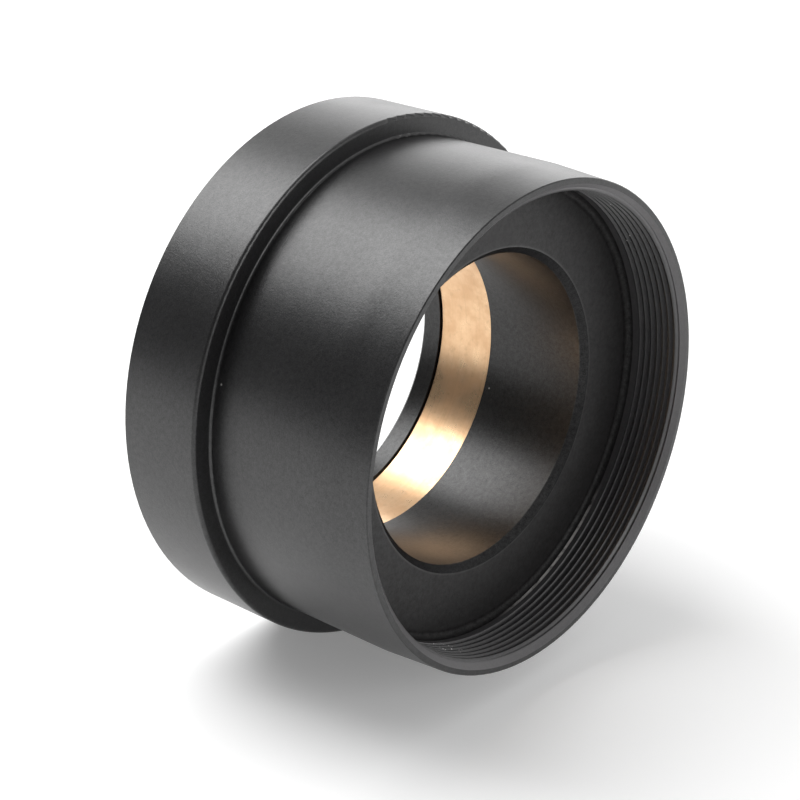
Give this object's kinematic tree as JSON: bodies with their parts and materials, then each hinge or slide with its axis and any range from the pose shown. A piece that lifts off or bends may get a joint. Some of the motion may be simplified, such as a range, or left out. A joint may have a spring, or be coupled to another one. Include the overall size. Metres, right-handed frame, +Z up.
{
  "type": "eyepiece adapter",
  "caption": "Black telescope eyepiece adapter: threaded nosepiece barrel, stepped flange, open bore with a brass compression ring, and a side thumbscrew that clamps the eyepiece.",
  "frame": {"origin": "on the optical axis, in the plane of the flange's front face, which seats on a 2 inch holder", "axes": "+Y along the optical axis from the filter-thread end towards the eyepiece, +X along the clamp screw from the ring to its head, +Z up"},
  "size_m": [0.0655, 0.0296, 0.0552],
  "materials": {
    "black_anodised": "fine bead-blasted black anodising, satin",
    "ring_brass": "rolled brass strip, light tarnish",
    "stud_steel": "plated steel",
    "head_anodised": "black anodising, straight knurl"
  },
  "bodies": {
    "adapter": {"adapter_body": "black_anodised"},
    "ring": {"compression_ring": "ring_brass"},
    "thumbscrew": {"thumbscrew_stud": "stud_steel", "thumbscrew_head": "head_anodised"}
  },
  "joints": [
    {"name": "ring_shift", "type": "slide", "parent": "adapter", "child": "ring", "axis": [-1, 0, 0], "range_m": [-0.0003, 0.00055]},
    {"name": "thumbscrew_turn", "type": "hinge", "parent": "ring", "child": "thumbscrew", "pos_m": [0.02723, 0.005, 0], "axis": [-1, 0, 0], "range_deg": [-155, 284]}
  ],
  "couplings": [
    {"joint": "thumbscrew_turn", "follows": "ring_shift", "rad_per_m": 8976}
  ]
}
